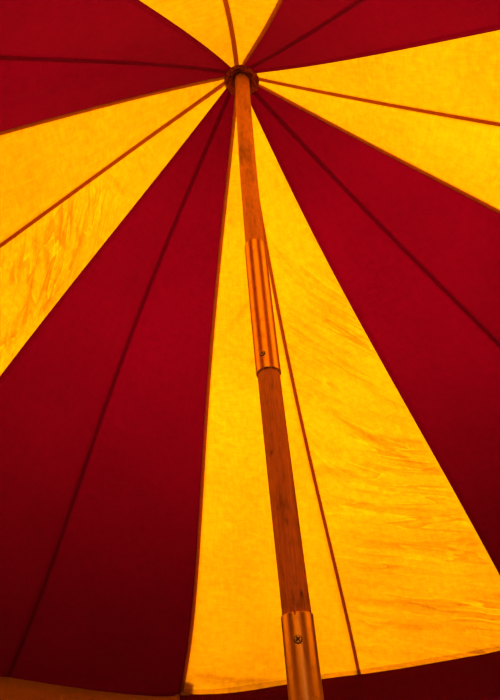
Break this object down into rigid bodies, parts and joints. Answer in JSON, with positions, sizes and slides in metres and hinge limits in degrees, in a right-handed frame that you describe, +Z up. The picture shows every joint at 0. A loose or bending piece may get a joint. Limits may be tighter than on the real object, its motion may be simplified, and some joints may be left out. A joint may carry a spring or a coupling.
{
  "type": "round medieval tent",
  "caption": "Round pavilion tent with a conical canvas roof in yellow and red sectors, counterchanged walls, an open doorway, a sleeved centre pole, guy ropes and pegs.",
  "frame": {"origin": "on the ground under the middle of the centre pole", "axes": "+Z up along the centre pole, -Y through the doorway, +X to the right of someone looking in +Y"},
  "size_m": [6.8434, 6.8434, 3.7495],
  "materials": {
    "yellow_canvas": "plain woven cotton canvas, dyed yellow, light shines through it",
    "red_canvas": "plain woven cotton canvas, dyed dark red, light shines through it",
    "leather": "dark brown crinkled leather",
    "pole_wood": "oiled softwood with small dark knots",
    "sleeve_metal": "rolled sheet, dull, with a seam",
    "hemp_rope": "laid three-strand hemp",
    "peg_wood": "cleft ash, weathered"
  },
  "bodies": {
    "root": {"roof_yellow_right": "yellow_canvas", "roof_yellow_back": "yellow_canvas", "roof_yellow_left": "yellow_canvas", "roof_yellow_front": "yellow_canvas", "roof_red_back_right": "red_canvas", "roof_red_back_left": "red_canvas", "roof_red_front_left": "red_canvas", "roof_red_front_right": "red_canvas", "wall_red_right": "red_canvas", "wall_red_back": "red_canvas", "wall_red_left": "red_canvas", "wall_red_front": "red_canvas", "wall_yellow_back_right": "yellow_canvas", "wall_yellow_back_left": "yellow_canvas", "wall_yellow_front_left": "yellow_canvas", "wall_yellow_front_right": "yellow_canvas", "door_flap_left": "red_canvas", "door_flap_right": "red_canvas", "crown_cap": "leather", "crown_patch": "leather", "pole_foot": "pole_wood", "pole_middle": "pole_wood", "pole_head": "pole_wood", "sleeve_lower": "sleeve_metal", "sleeve_upper": "sleeve_metal", "guy_rope_01": "hemp_rope", "guy_rope_02": "hemp_rope", "guy_rope_03": "hemp_rope", "guy_rope_04": "hemp_rope", "guy_rope_05": "hemp_rope", "guy_rope_06": "hemp_rope", "guy_rope_07": "hemp_rope", "guy_rope_08": "hemp_rope", "guy_rope_09": "hemp_rope", "guy_rope_10": "hemp_rope", "guy_rope_11": "hemp_rope", "guy_rope_12": "hemp_rope", "guy_rope_13": "hemp_rope", "guy_rope_14": "hemp_rope", "guy_rope_15": "hemp_rope", "guy_rope_16": "hemp_rope", "guy_peg_01": "peg_wood", "guy_peg_02": "peg_wood", "guy_peg_03": "peg_wood", "guy_peg_04": "peg_wood", "guy_peg_05": "peg_wood", "guy_peg_06": "peg_wood", "guy_peg_07": "peg_wood", "guy_peg_08": "peg_wood", "guy_peg_09": "peg_wood", "guy_peg_10": "peg_wood", "guy_peg_11": "peg_wood", "guy_peg_12": "peg_wood", "guy_peg_13": "peg_wood", "guy_peg_14": "peg_wood", "guy_peg_15": "peg_wood", "guy_peg_16": "peg_wood"}
  },
  "joints": []
}
